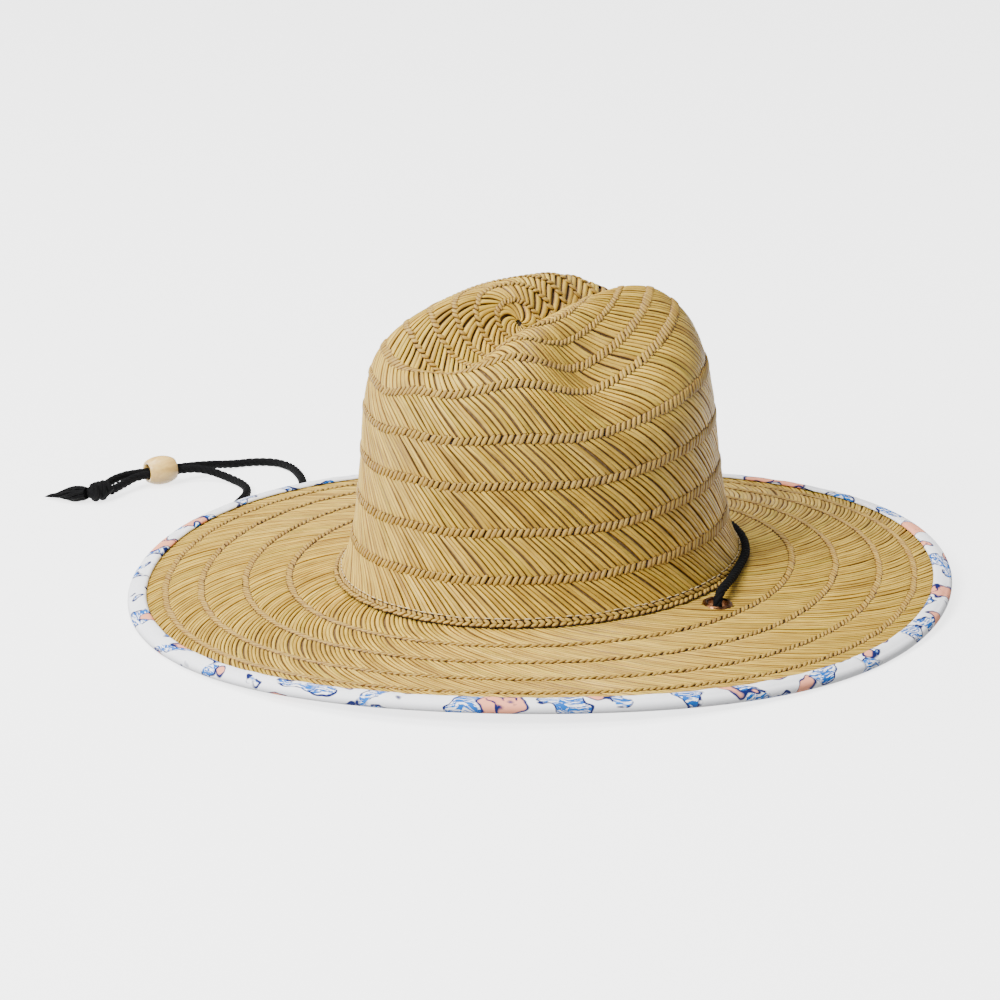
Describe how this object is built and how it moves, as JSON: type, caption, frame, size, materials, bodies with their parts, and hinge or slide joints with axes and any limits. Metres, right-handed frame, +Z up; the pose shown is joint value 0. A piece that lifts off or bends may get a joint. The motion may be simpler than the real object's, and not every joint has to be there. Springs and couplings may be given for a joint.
{
  "type": "straw sun hat",
  "caption": "Wide-brimmed woven straw sun hat with a creased, pinched crown, a bound brim edge, side eyelets and a chin cord with a sliding wooden bead and a tassel.",
  "frame": {"origin": "on the ground under the middle of the brim, which rests on three low stretches of its edge", "axes": "+Z up through the crown, -Y to the front of the hat, +X to the wearer's left"},
  "size_m": [0.4986, 0.4148, 0.1509],
  "materials": {
    "straw": "woven natural straw, rounded glossy strips",
    "brim_fabric": "the same printed cotton as the binding, facing the underside of the brim, matt",
    "binding_fabric": "printed cotton, white ground with navy strokes and sky blue and coral patches, matt",
    "thread": "pale cotton thread, matt",
    "band_fabric": "cotton sweatband, matt",
    "cord_black": "braided black cord, soft sheen",
    "bead_wood": "pale maple, satin",
    "eyelet_metal": "antique copper, polished"
  },
  "bodies": {
    "hat": {"straw_crown": "straw", "straw_crown_top": "straw", "straw_brim": "straw", "underbrim_fabric": "brim_fabric", "brim_binding": "binding_fabric", "binding_stitching": "thread", "sweatband": "band_fabric", "sweatband_stitching": "thread", "cord_knot": "cord_black", "cord_tassel": "cord_black", "chin_cord_back": "cord_black", "chin_cord_left": "cord_black", "chin_cord_right": "cord_black", "eyelet_left": "eyelet_metal", "eyelet_right": "eyelet_metal", "eyelet_washer_left": "eyelet_metal", "eyelet_washer_right": "eyelet_metal"},
    "bead": {"cord_bead": "bead_wood"}
  },
  "joints": [
    {"name": "bead_slide", "type": "slide", "parent": "hat", "child": "bead", "axis": [0.3746, 0.9272, 0], "range_m": [0, 0.008]}
  ]
}
